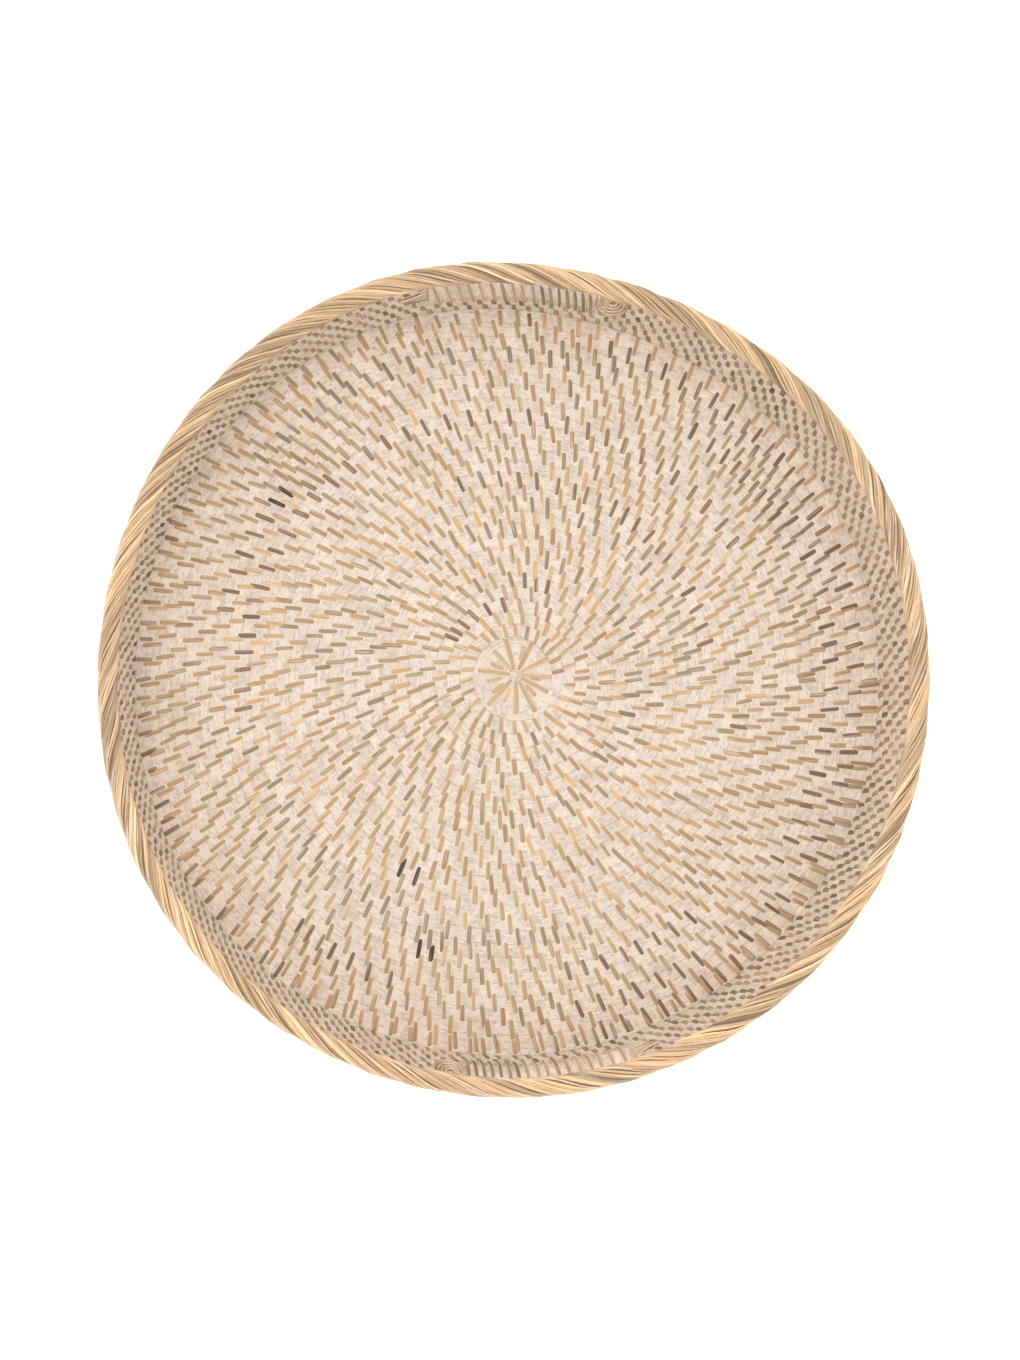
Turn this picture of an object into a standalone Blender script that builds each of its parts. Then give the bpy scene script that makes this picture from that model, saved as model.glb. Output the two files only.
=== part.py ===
"""Round, shallow winnowing basket made of coiled cane, with two hand-hold slots.

Units are metres and +Z is up. The tray rests on Z = 0 and its centre is on the Z axis.
One foundation coil makes the floor and the wall. It is modelled turn by turn, and each
turn keeps a small gap to its neighbours. A slot is cut through the wall at +Y and
another one nearly opposite, and a lashed hoop closes the top edge.
"""

import math

import bmesh
import bpy
from mathutils import Vector

SEGMENTS = 48
GAP = 0.0003

# Floor: the coil seen from above, one turn beside the next.
COIL_PITCH = 0.0080
COIL_THICKNESS = 0.0050
COIL_EDGE_ROUND = 0.0011
START_RADIUS = 0.0220
DOUBLE_TURNS = 12
HEEL_OUTER_RADIUS = 0.2362
HEEL_ROUND = 0.0022

# Wall: the same coil stacked upwards, leaning out.
WALL_BASE_RADIUS = 0.2310
WALL_BASE_HEIGHT = 0.0057
WALL_LEAN = math.radians(9.5)
WALL_EDGE_ROUND = 0.0009
WALL_SEAM = math.radians(1.0)
FULL_WALL_TURNS = 3
CUT_WALL_TURNS = 3

# Hand-hold slots, by their angle from +X, anticlockwise seen from above.
SLOT_ANGLES = {"north": math.radians(90.0), "south": math.radians(275.0)}
SLOT_HALF_SPAN = math.radians(12.0)
POST_SPAN = math.radians(1.9)
ARC_GAP = math.radians(0.1)
LIP_THICKNESS = 0.0022
LIP_WIDTH = 0.0056
POST_WIDTH = 0.0056

# Rim: a round hoop under a lashing that covers its top and both sides.
RIM_OUTER_RADIUS = 0.2500
RIM_WIDTH = 0.0120
RIM_BASE_HEIGHT = 0.0528
RIM_HEIGHT = 0.0122
LASHING_THICKNESS = 0.0018
HOOP_RADIUS = 0.0035


def clear_scene():
    """Remove every object that the file started with."""
    for obj in list(bpy.data.objects):
        bpy.data.objects.remove(obj, do_unlink=True)


def make_material(name, color, roughness):
    """Return a plain Principled material with the given linear colour."""
    material = bpy.data.materials.new(name)
    material.use_nodes = True
    shader = material.node_tree.nodes["Principled BSDF"]
    shader.inputs["Base Color"].default_value = (*color, 1.0)
    shader.inputs["Roughness"].default_value = roughness
    shader.inputs["Metallic"].default_value = 0.0
    material.diffuse_color = (*color, 1.0)
    return material


def whitewashed_cane(name):
    """Return the chalky cream finish of the foundation coil."""
    return make_material(name, (0.79, 0.70, 0.61), 0.85)


def natural_cane(name):
    """Return the honey finish of the split-cane wraps and lashing."""
    return make_material(name, (0.66, 0.46, 0.28), 0.62)


def hoop_cane(name):
    """Return the darker finish of the hidden rim hoop."""
    return make_material(name, (0.42, 0.27, 0.14), 0.70)


def add_object(name, bm, material, root, height=0.0):
    """Turn a bmesh into a smooth-shaded object that stands on the given height."""
    bmesh.ops.recalc_face_normals(bm, faces=bm.faces)
    mesh = bpy.data.meshes.new(name)
    bm.to_mesh(mesh)
    bm.free()
    mesh.materials.append(material)
    mesh.shade_smooth()
    mesh.set_sharp_from_angle(angle=math.radians(35.0))
    obj = bpy.data.objects.new(name, mesh)
    obj.location = (0.0, 0.0, height)
    obj.parent = root
    bpy.context.scene.collection.objects.link(obj)
    return obj


def profile_loop(bm, profile, angle):
    """Add the closed outline of a cross-section, given as radius and height pairs."""
    verts = []
    for radius, height in profile:
        point = (radius * math.cos(angle), radius * math.sin(angle), height)
        verts.append(bm.verts.new(point))
    edges = []
    for index, vert in enumerate(verts):
        edges.append(bm.edges.new((vert, verts[(index + 1) % len(verts)])))
    return verts, edges


def turned_ring(profile, start=0.0):
    """Turn a cross-section all the way round the Z axis, from a start angle."""
    bm = bmesh.new()
    verts, edges = profile_loop(bm, profile, start)
    bmesh.ops.spin(
        bm,
        geom=verts + edges,
        cent=Vector((0.0, 0.0, 0.0)),
        axis=Vector((0.0, 0.0, 1.0)),
        angle=2.0 * math.pi,
        steps=SEGMENTS,
        use_merge=True,
    )
    return bm


def turned_arc(profile, start, end):
    """Turn a cross-section from one angle to another and close both ends."""
    steps = max(2, round((end - start) / (2.0 * math.pi) * SEGMENTS))
    bm = bmesh.new()
    verts, edges = profile_loop(bm, profile, start)
    face = bm.faces.new(verts)
    bmesh.ops.spin(
        bm,
        geom=verts + edges + [face],
        cent=Vector((0.0, 0.0, 0.0)),
        axis=Vector((0.0, 0.0, 1.0)),
        angle=end - start,
        steps=steps,
    )
    return bm


def floor_profile(inner, outer):
    """Return a flat-bottomed band with its two upper edges eased."""
    return [
        (inner, 0.0),
        (outer, 0.0),
        (outer, COIL_THICKNESS - COIL_EDGE_ROUND),
        (outer - COIL_EDGE_ROUND, COIL_THICKNESS),
        (inner + COIL_EDGE_ROUND, COIL_THICKNESS),
        (inner, COIL_THICKNESS - COIL_EDGE_ROUND),
    ]


def build_floor_start(root):
    """Build the round button at the centre of the floor."""
    bm = bmesh.new()
    bmesh.ops.create_cone(
        bm,
        cap_ends=True,
        cap_tris=False,
        segments=SEGMENTS,
        radius1=START_RADIUS,
        radius2=START_RADIUS,
        depth=COIL_THICKNESS,
    )
    top = [edge for edge in bm.edges if min(vert.co.z for vert in edge.verts) > 0.0]
    bmesh.ops.bevel(bm, geom=top, offset=COIL_EDGE_ROUND, segments=1, affect="EDGES")
    material = whitewashed_cane("floor_start_cane")
    add_object("floor_start", bm, material, root, COIL_THICKNESS / 2.0)


def build_floor_coils(root):
    """Build the floor: pairs of turns, then one single turn. Return its outer radius."""
    inner = START_RADIUS + GAP
    turns = [2] * DOUBLE_TURNS + [1]
    for number, count in enumerate(turns, start=1):
        outer = inner + count * COIL_PITCH - GAP
        name = f"floor_coil_{number:02d}"
        bm = turned_ring(floor_profile(inner, outer))
        add_object(name, bm, whitewashed_cane(f"{name}_cane"), root)
        inner = outer + GAP
    return inner


def build_heel(root, inner):
    """Build the turn that fills the corner under the wall."""
    profile = [
        (inner, 0.0),
        (HEEL_OUTER_RADIUS - HEEL_ROUND, 0.0),
        (HEEL_OUTER_RADIUS, HEEL_ROUND),
        (HEEL_OUTER_RADIUS, COIL_THICKNESS),
        (inner + COIL_EDGE_ROUND, COIL_THICKNESS),
        (inner, COIL_THICKNESS - COIL_EDGE_ROUND),
    ]
    add_object("heel_coil", turned_ring(profile), whitewashed_cane("heel_coil_cane"), root)


def wall_point(climb, depth):
    """Return radius and height of a point of the wall above its base.

    The climb runs up the slope of the inner face. The depth goes outwards from it.
    """
    radius = WALL_BASE_RADIUS + climb * math.sin(WALL_LEAN) + depth * math.cos(WALL_LEAN)
    height = climb * math.cos(WALL_LEAN) - depth * math.sin(WALL_LEAN)
    return radius, height


def wall_turn_profile(turn):
    """Return the six-sided section of one wall turn, counted from the floor."""
    low = turn * COIL_PITCH + GAP / 2.0
    high = (turn + 1) * COIL_PITCH - GAP / 2.0
    middle = COIL_THICKNESS / 2.0
    return [
        wall_point(low, middle),
        wall_point(low + WALL_EDGE_ROUND, COIL_THICKNESS),
        wall_point(high - WALL_EDGE_ROUND, COIL_THICKNESS),
        wall_point(high, middle),
        wall_point(high - WALL_EDGE_ROUND, 0.0),
        wall_point(low + WALL_EDGE_ROUND, 0.0),
    ]


def build_full_wall_turns(root):
    """Build the closed turns between the floor and the slots."""
    for turn in range(FULL_WALL_TURNS):
        name = f"wall_coil_{turn + 1:02d}"
        bm = turned_ring(wall_turn_profile(turn), WALL_SEAM)
        add_object(name, bm, whitewashed_cane(f"{name}_cane"), root, WALL_BASE_HEIGHT)


def build_cut_wall_turns(root):
    """Build the upper turns as two arcs each, west and east of the slots."""
    clear = SLOT_HALF_SPAN + POST_SPAN + ARC_GAP
    north = SLOT_ANGLES["north"]
    south = SLOT_ANGLES["south"]
    spans = {
        "west": (north + clear, south - clear),
        "east": (south + clear, north - clear + 2.0 * math.pi),
    }
    for turn in range(FULL_WALL_TURNS, FULL_WALL_TURNS + CUT_WALL_TURNS):
        for side, (start, end) in spans.items():
            name = f"wall_coil_{turn + 1:02d}_{side}"
            bm = turned_arc(wall_turn_profile(turn), start, end)
            add_object(name, bm, whitewashed_cane(f"{name}_cane"), root, WALL_BASE_HEIGHT)


def lip_profile():
    """Return the section of the bound edge below a slot, above the highest full turn."""
    inner, _ = wall_point(FULL_WALL_TURNS * COIL_PITCH, 0.0)
    inner -= (LIP_WIDTH - COIL_THICKNESS) / 2.0
    outer = inner + LIP_WIDTH
    _, low = wall_point(FULL_WALL_TURNS * COIL_PITCH + GAP / 2.0, COIL_THICKNESS / 2.0)
    high = low + LIP_THICKNESS
    ease = LIP_THICKNESS / 2.0
    return [
        (inner, low),
        (outer, low),
        (outer, high - ease),
        (outer - ease, high),
        (inner + ease, high),
        (inner, high - ease),
    ]


def post_profile():
    """Return the leaning section of the wrapped end of a slot."""
    low = FULL_WALL_TURNS * COIL_PITCH + GAP / 2.0
    high = (FULL_WALL_TURNS + CUT_WALL_TURNS) * COIL_PITCH - GAP / 2.0
    _, floor = wall_point(low, COIL_THICKNESS / 2.0)
    _, top = wall_point(high, COIL_THICKNESS / 2.0)
    spare = (POST_WIDTH - COIL_THICKNESS) / 2.0
    low_radius, _ = wall_point(low, -spare)
    high_radius, _ = wall_point(high, -spare)
    return [
        (low_radius, floor),
        (low_radius + POST_WIDTH, floor),
        (high_radius + POST_WIDTH, top),
        (high_radius, top),
    ]


def build_slot_edges(root):
    """Build the wrapped lip and the two wrapped ends of each slot."""
    for slot, centre in SLOT_ANGLES.items():
        lip_half = SLOT_HALF_SPAN - ARC_GAP
        lip = turned_arc(lip_profile(), -lip_half, lip_half)
        name = f"slot_{slot}_lip"
        obj = add_object(name, lip, natural_cane(f"{name}_cane"), root, WALL_BASE_HEIGHT)
        obj.rotation_euler.z = centre
        for side, sign in (("right", -1.0), ("left", 1.0)):
            near = min(sign * SLOT_HALF_SPAN, sign * (SLOT_HALF_SPAN + POST_SPAN))
            post = turned_arc(post_profile(), near, near + POST_SPAN)
            name = f"slot_{slot}_end_{side}"
            obj = add_object(name, post, natural_cane(f"{name}_cane"), root, WALL_BASE_HEIGHT)
            obj.rotation_euler.z = centre


def half_round(centre_radius, half_width, spring, count):
    """Return the points of a half-round cap, from its inner foot to its outer foot."""
    points = []
    for index in range(count + 1):
        angle = math.pi - math.pi * index / count
        radius = centre_radius + half_width * math.cos(angle)
        points.append((radius, spring + half_width * math.sin(angle)))
    return points


def build_rim(root):
    """Build the hoop and the lashing that covers its top and both sides."""
    half_width = RIM_WIDTH / 2.0
    centre = RIM_OUTER_RADIUS - half_width
    spring = RIM_HEIGHT - half_width
    outside = half_round(centre, half_width, spring, 6)
    inside = half_round(centre, half_width - LASHING_THICKNESS, spring, 4)
    feet_in = [(inside[-1][0], 0.0), (outside[-1][0], 0.0)]
    feet_out = [(outside[0][0], 0.0), (inside[0][0], 0.0)]
    profile = outside + feet_in[::-1] + inside[::-1] + feet_out[::-1]
    lashing = turned_ring(profile)
    add_object("rim_lashing", lashing, natural_cane("rim_lashing_cane"), root, RIM_BASE_HEIGHT)
    hoop_profile = []
    for index in range(8):
        angle = 2.0 * math.pi * (index + 0.5) / 8
        radius = centre + HOOP_RADIUS * math.cos(angle)
        hoop_profile.append((radius, spring + HOOP_RADIUS * math.sin(angle)))
    hoop = turned_ring(hoop_profile)
    add_object("rim_hoop", hoop, hoop_cane("rim_hoop_cane"), root, RIM_BASE_HEIGHT)


def main():
    """Build the basket."""
    clear_scene()
    root = bpy.data.objects.new("basket", None)
    bpy.context.scene.collection.objects.link(root)
    build_floor_start(root)
    heel_inner = build_floor_coils(root)
    build_heel(root, heel_inner)
    build_full_wall_turns(root)
    build_cut_wall_turns(root)
    build_slot_edges(root)
    build_rim(root)


main()
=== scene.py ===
"""Looks of a round winnowing basket: coiled floor and wall, bound slots, lashed rim.

Every length is in metres. Angles are in radians from +X, anticlockwise seen from above.
"""

import logging
import math
from collections.abc import Callable, Iterable, Sequence
from dataclasses import dataclass, field, replace
from enum import Enum
from typing import Any

import bmesh
import bpy
import numpy as np
from bpy.types import Material, Mesh, Node, NodeSocket, NodeTree, Object
from mathutils import Matrix, Vector


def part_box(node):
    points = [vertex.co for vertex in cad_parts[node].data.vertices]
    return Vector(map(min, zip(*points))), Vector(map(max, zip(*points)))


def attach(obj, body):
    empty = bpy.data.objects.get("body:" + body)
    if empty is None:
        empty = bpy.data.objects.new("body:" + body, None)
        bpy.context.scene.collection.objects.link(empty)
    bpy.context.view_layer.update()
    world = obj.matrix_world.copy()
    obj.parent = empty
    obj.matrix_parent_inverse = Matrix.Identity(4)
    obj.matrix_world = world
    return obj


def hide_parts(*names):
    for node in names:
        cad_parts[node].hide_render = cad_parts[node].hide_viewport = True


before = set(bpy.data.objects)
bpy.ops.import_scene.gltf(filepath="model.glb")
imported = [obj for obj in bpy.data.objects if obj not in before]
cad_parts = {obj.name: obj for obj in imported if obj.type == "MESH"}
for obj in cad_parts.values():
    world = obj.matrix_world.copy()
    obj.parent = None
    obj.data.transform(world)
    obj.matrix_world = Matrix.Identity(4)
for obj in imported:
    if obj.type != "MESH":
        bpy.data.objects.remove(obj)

LOG = logging.getLogger("winnowing_basket")
TURN = 2.0 * math.pi
BODY = "root"
ORIGIN = Vector((0.0, 0.0, 0.0))
UNIT = Vector((1.0, 1.0, 1.0))
UP = Vector((0.0, 0.0, 1.0))

# What each place of a strip carries, in the order that Scatter keeps it.
PLACE_FIELDS = (
    ("turn", "FLOAT_VECTOR"),
    ("size", "FLOAT_VECTOR"),
    ("tone", "FLOAT_COLOR"),
    ("odd", "FLOAT"),
    ("coat", "FLOAT"),
)

Pair = tuple[float, float]
Triple = tuple[float, float, float]
Colour = Triple


class CaneTone(Enum):
    """Shades of bare split cane, each with its colour and its share of the strips."""

    HONEY = ((0.640, 0.415, 0.220), 0.25)
    STRAW = ((0.590, 0.405, 0.230), 0.22)
    BISCUIT = ((0.500, 0.330, 0.185), 0.26)
    ROSY = ((0.560, 0.350, 0.210), 0.09)
    OLIVE = ((0.400, 0.295, 0.185), 0.07)
    NUT = ((0.300, 0.180, 0.105), 0.095)
    BARK = ((0.090, 0.052, 0.034), 0.015)

    @property
    def colour(self) -> Colour:
        """Return the linear colour of the shade."""
        return self.value[0]

    @property
    def share(self) -> float:
        """Return the share of strips that have the shade."""
        return self.value[1]


class Face(Enum):
    """The two faces of the coiled fabric."""

    INSIDE = 1.0
    OUTSIDE = -1.0


class NodeSheet:
    """A node tree with short ways to add nodes and join them."""

    def __init__(self, tree: NodeTree) -> None:
        """Keep the tree to work on."""
        self.tree = tree

    def add(
        self, kind: str, sockets: dict[str | int, Any] | None = None, **fields: Any
    ) -> Node:
        """Add a node.

        Args:
            kind: The node's type name.
            sockets: Inputs by name or number. A node or socket is joined, a value is set.
            fields: The node's own settings.

        Returns:
            The new node.
        """
        node = self.tree.nodes.new(kind)
        for name, value in fields.items():
            setattr(node, name, value)
        for key, value in (sockets or {}).items():
            self.feed(node.inputs[key], value)
        return node

    def feed(self, socket: NodeSocket, value: Any) -> None:
        """Join a node or a socket to an input, or set the input to a plain value.

        Args:
            socket: The input.
            value: A node, a socket or a plain value.
        """
        if isinstance(value, Node):
            value = next(out for out in value.outputs if out.enabled)
        if isinstance(value, NodeSocket):
            self.tree.links.new(value, socket)
        else:
            socket.default_value = value

    def math(self, operation: str, first: Any, second: Any = 0.0) -> Node:
        """Return a Math node that combines two values."""
        return self.add("ShaderNodeMath", {0: first, 1: second}, operation=operation)

    def times(self, first: Any, second: Any) -> Node:
        """Return a Math node that multiplies two values."""
        return self.math("MULTIPLY", first, second)

    def read(self, label: str, output: str = "Fac") -> NodeSocket:
        """Return a value that the mesh itself carries."""
        return self.add("ShaderNodeAttribute", attribute_name=label).outputs[output]

    def vector(self, *parts: Any) -> Node:
        """Return a vector of the given parts."""
        return self.add("ShaderNodeCombineXYZ", dict(enumerate(parts)))

    def noise(
        self, place: Any, scale: float, detail: float, roughness: float
    ) -> NodeSocket:
        """Return a noise value between 0 and 1 at a place.

        Args:
            place: Where to read it.
            scale: How fine it is.
            detail: How many finer layers it has.
            roughness: How strong those layers are.

        Returns:
            The noise value.
        """
        sockets = {"Vector": place, "Scale": scale, "Detail": detail, "Roughness": roughness}
        return self.add("ShaderNodeTexNoise", sockets).outputs[0]

    def ramp(
        self, value: Any, start: float, end: float, low: float, high: float
    ) -> NodeSocket:
        """Return a value carried from one range to another and held at its ends.

        Args:
            value: The value.
            start: Start of its own range.
            end: End of its own range.
            low: Start of the new range.
            high: End of the new range.

        Returns:
            The new value.
        """
        sockets = {0: value, 1: start, 2: end, 3: low, 4: high}
        return self.add("ShaderNodeMapRange", sockets).outputs[0]

    def blend(self, share: Any, first: Any, second: Any) -> NodeSocket:
        """Return a colour between two colours, each a socket or plain values.

        Args:
            share: How much of the second colour there is.
            first: The first colour.
            second: The second colour.

        Returns:
            The mixed colour.
        """
        sockets = {
            "Factor": share,
            "A": (*first, 1.0) if isinstance(first, tuple) else first,
            "B": (*second, 1.0) if isinstance(second, tuple) else second,
        }
        mix = self.add("ShaderNodeMix", data_type="RGBA")
        for name, value in sockets.items():
            self.feed(next(i for i in mix.inputs if i.name == name and i.enabled), value)
        return next(out for out in mix.outputs if out.enabled)

    def dress(
        self,
        colour: NodeSocket,
        rough: Any,
        height: Any,
        strength: float,
        distance: float,
        shine: float | None = None,
    ) -> None:
        """Join the finished patterns to the material's shader.

        Args:
            colour: The colour.
            rough: The roughness, as a socket or a plain value.
            height: The relief.
            strength: How strongly the relief shows.
            distance: How deep it is.
            shine: The strength of the highlight, or None for the usual one.
        """
        shader = self.tree.nodes["Principled BSDF"]
        relief = {"Height": height, "Strength": strength, "Distance": distance}
        self.feed(shader.inputs["Base Color"], colour)
        self.feed(shader.inputs["Roughness"], rough)
        self.feed(shader.inputs["Normal"], self.add("ShaderNodeBump", relief))
        if shine is not None:
            shader.inputs["Specular IOR Level"].default_value = shine


def new_finish(name: str) -> tuple[Material, NodeSheet]:
    """Return a new material and its nodes.

    Args:
        name: The material's name.

    Returns:
        The material and its nodes.
    """
    made = bpy.data.materials.new(name)
    made.use_nodes = True
    return made, NodeSheet(made.node_tree)


class ShapeTree(NodeSheet):
    """A Geometry Nodes tree with named inputs, and the steps that use it up."""

    def __init__(self, name: str) -> None:
        """Make an empty tree with its geometry output.

        Args:
            name: The tree's name.
        """
        super().__init__(bpy.data.node_groups.new(name, "GeometryNodeTree"))
        self.tree.interface.new_socket(
            "Shape", in_out="OUTPUT", socket_type="NodeSocketGeometry"
        )
        self.entry = self.tree.nodes.new("NodeGroupInput")
        self.exit = self.tree.nodes.new("NodeGroupOutput")

    def input(self, name: str, kind: str) -> NodeSocket:
        """Add a named input.

        Args:
            name: The input's name.
            kind: What it holds, such as Float, Object or Material.

        Returns:
            The socket to join inside the tree.
        """
        self.tree.interface.new_socket(
            name, in_out="INPUT", socket_type=f"NodeSocket{kind}"
        )
        return self.entry.outputs[name]

    def shape_of(self, name: str) -> NodeSocket:
        """Add a named object input and return that object's geometry."""
        sockets = {"Object": self.input(name, "Object")}
        return self.add("GeometryNodeObjectInfo", sockets).outputs["Geometry"]

    def vector_of(self, label: str) -> NodeSocket:
        """Return a vector that the points carry."""
        kind = "GeometryNodeInputNamedAttribute"
        return self.add(kind, {"Name": label}, data_type="FLOAT_VECTOR").outputs[0]

    def mark(self, shape: Any, label: str, value: Any) -> Node:
        """Return the shape with one value kept on each of its points.

        Args:
            shape: The geometry.
            label: The value's name.
            value: The value.

        Returns:
            The node that holds the marked geometry.
        """
        sockets = {"Geometry": shape, "Name": label, "Value": value}
        kind = "GeometryNodeStoreNamedAttribute"
        return self.add(kind, sockets, data_type="FLOAT", domain="POINT")

    def close(self, shape: Any, material: NodeSocket) -> None:
        """End the tree: real geometry, smooth, in its material.

        Args:
            shape: The node that holds the geometry.
            material: The input that holds the material.
        """
        real = self.add("GeometryNodeRealizeInstances", {"Geometry": shape})
        smooth = self.add("GeometryNodeSetShadeSmooth", {"Geometry": real})
        dressed = self.add(
            "GeometryNodeSetMaterial", {"Geometry": smooth, "Material": material}
        )
        self.tree.links.new(dressed.outputs[0], self.exit.inputs[0])

    def make(self, name: str, values: dict[str, Any]) -> Object:
        """Run the tree and keep its result as a plain mesh.

        Args:
            name: The new piece's name.
            values: The value of each named input.

        Returns:
            The new object, with no modifier.
        """
        host = new_object(f"{name}_host", bpy.data.meshes.new(f"{name}_host"))
        modifier = host.modifiers.new("shape", "NODES")
        modifier.node_group = self.tree
        for item in self.tree.interface.items_tree:
            if item.item_type == "SOCKET" and item.in_out == "INPUT":
                modifier[item.identifier] = values[item.name]
        host.update_tag()
        bpy.context.view_layer.update()
        graph = bpy.context.evaluated_depsgraph_get()
        mesh = bpy.data.meshes.new_from_object(host.evaluated_get(graph))
        bpy.data.objects.remove(host)
        mesh.name = name
        face_outwards(mesh)
        return new_object(name, mesh)


def new_object(name: str, data: bpy.types.ID) -> Object:
    """Put a mesh or curve in the scene and return its object.

    Args:
        name: The object's name.
        data: The mesh, curve, lamp or camera.

    Returns:
        The new object.
    """
    made = bpy.data.objects.new(name, data)
    bpy.context.scene.collection.objects.link(made)
    return made


def face_outwards(mesh: Mesh) -> None:
    """Turn every closed shell of a mesh right side out.

    Args:
        mesh: The mesh to mend.
    """
    work = bmesh.new()
    work.from_mesh(mesh)
    bmesh.ops.recalc_face_normals(work, faces=work.faces)
    work.to_mesh(mesh)
    work.free()


@dataclass(frozen=True)
class HandShape:
    """How the handmade basket strays from true circles about one centre."""

    waves: tuple[tuple[int, float, float], ...] = (
        (2, 0.0006, 145.0),
        (3, 0.0012, 0.0),
        (4, 0.0012, 32.0),
        (5, 0.0004, 40.0),
        (6, 0.0003, 33.0),
    )
    start_shift: Pair = (0.0037, 0.0033)
    still_radius: float = 0.215
    rim_radius: float = 0.250
    foot_pull: float = 0.0024
    foot_lean: float = 0.0013
    foot_peak: float = 60.0
    foot_radius: float = 0.222
    head_radius: float = 0.243

    def bend(self, mesh: Mesh) -> None:
        """Move a mesh's points to the handmade shape.

        Args:
            mesh: The mesh to bend, made about the true centre.
        """
        flat = np.empty(len(mesh.vertices) * 3, np.float32)
        mesh.vertices.foreach_get("co", flat)
        points = flat.reshape(-1, 3)
        radius = np.hypot(points[:, 0], points[:, 1])
        angle = np.arctan2(points[:, 1], points[:, 0])
        push = np.zeros(len(points))
        for count, height, peak in self.waves:
            push += height * np.cos(count * (angle - math.radians(peak)))
        push *= (radius / self.rim_radius) ** 2
        pull = self.foot_pull + self.foot_lean * np.cos(angle - math.radians(self.foot_peak))
        pull *= np.minimum(radius / self.foot_radius, 1.0) ** 2
        depth = self.head_radius - self.foot_radius
        push -= pull * np.clip((self.head_radius - radius) / depth, 0.0, 1.0)
        fade = np.clip(1.0 - radius / self.still_radius, 0.0, 1.0)
        points[:, 0] += push * np.cos(angle) + self.start_shift[0] * fade
        points[:, 1] += push * np.sin(angle) + self.start_shift[1] * fade
        mesh.vertices.foreach_set("co", points.ravel())
        mesh.update()


def store(mesh: Mesh, label: str, kind: str, values: Any) -> None:
    """Keep one value for each point of a mesh.

    Args:
        mesh: The mesh.
        label: The value's name.
        kind: FLOAT, FLOAT_VECTOR or FLOAT_COLOR.
        values: The values, in the order of the points.
    """
    part = {"FLOAT": "value", "FLOAT_VECTOR": "vector", "FLOAT_COLOR": "color"}[kind]
    held = mesh.attributes.new(label, kind, "POINT")
    held.data.foreach_set(part, np.array(values, np.float32).ravel())


def discard(*helpers: Object) -> None:
    """Remove templates and guides that are used up."""
    for helper in helpers:
        bpy.data.objects.remove(helper)


def settle(piece: Object, nodes: Iterable[str] = ()) -> None:
    """Tie a finished piece to the frame and report it.

    Args:
        piece: The finished mesh object.
        nodes: The frame's nodes that it stands for.
    """
    HandShape().bend(piece.data)
    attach(piece, BODY)
    if nodes:
        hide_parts(*nodes)
    LOG.info("%s: %d faces", piece.name, len(piece.data.polygons))


def curve_object(
    name: str, points: Sequence[Sequence[float]], closed: bool
) -> Object:
    """Make a curve of straight steps.

    Args:
        name: The curve's name.
        points: Its points, in order.
        closed: Whether the last point joins the first.

    Returns:
        The curve's object.
    """
    curve = bpy.data.curves.new(name, "CURVE")
    curve.dimensions = "3D"
    spline = curve.splines.new("POLY")
    spline.points.add(len(points) - 1)
    for target, (x, y, z) in zip(spline.points, points):
        target.co = (x, y, z, 1.0)
    spline.use_cyclic_u = closed
    return new_object(name, curve)


@dataclass(frozen=True)
class WhitewashFinish:
    """Chalky paint brushed over flat cane, thin enough to show fibres and worn spots."""

    name: str = "whitewashed_cane"
    chalk: Colour = (0.910, 0.800, 0.700)
    dusty: Colour = (0.655, 0.545, 0.450)
    rosy: Colour = (0.800, 0.650, 0.560)
    bare: Colour = (0.620, 0.455, 0.290)
    fibres_across: float = 3.6
    fibre_stretch: float = 170.0
    wear: float = 0.50
    cloud_scale: float = 75.0
    flush_scale: float = 160.0
    blot_scale: float = 330.0
    speck_scale: float = 620.0
    speck: Colour = (0.130, 0.085, 0.055)

    def material(self) -> Material:
        """Build the paint from fibre, cloud, wear and speck patterns.

        Returns:
            The finished material.
        """
        made, sheet = new_finish(self.name)
        place = sheet.add("ShaderNodeTexCoord").outputs["Object"]
        run = sheet.times(sheet.read("along"), self.fibre_stretch)
        stretched = sheet.vector(run, sheet.times(sheet.read("across"), self.fibres_across))
        fibres = sheet.noise(stretched, 1.0, 3.0, 0.62)
        clouds = sheet.noise(place, self.cloud_scale, 3.0, 0.6)
        blots = sheet.noise(place, self.blot_scale, 2.0, 0.55)
        tint = sheet.math("ADD", sheet.times(clouds, 0.7), blots)
        tint = sheet.math("ADD", tint, sheet.times(fibres, 1.3))
        spread = sheet.ramp(tint, 1.30, 1.66, 0.0, 1.0)
        paint = sheet.blend(spread, self.dusty, self.chalk)
        flushes = sheet.noise(place, self.flush_scale, 2.0, 0.5)
        paint = sheet.blend(sheet.ramp(flushes, 0.5, 0.72, 0.0, 0.55), paint, self.rosy)
        rubbed = sheet.times(blots, fibres)
        worn = sheet.blend(sheet.ramp(rubbed, 0.29, 0.40, 0.0, self.wear), paint, self.bare)
        dots = sheet.noise(place, self.speck_scale, 1.0, 0.5)
        speckled = sheet.blend(sheet.ramp(dots, 0.73, 0.755, 0.0, 0.7), worn, self.speck)
        height = sheet.math("ADD", sheet.times(fibres, 0.9), blots)
        rough = sheet.ramp(blots, 0.0, 1.0, 0.72, 0.95)
        sheet.dress(speckled, rough, height, strength=0.6, distance=0.0004, shine=0.2)
        return made


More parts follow.
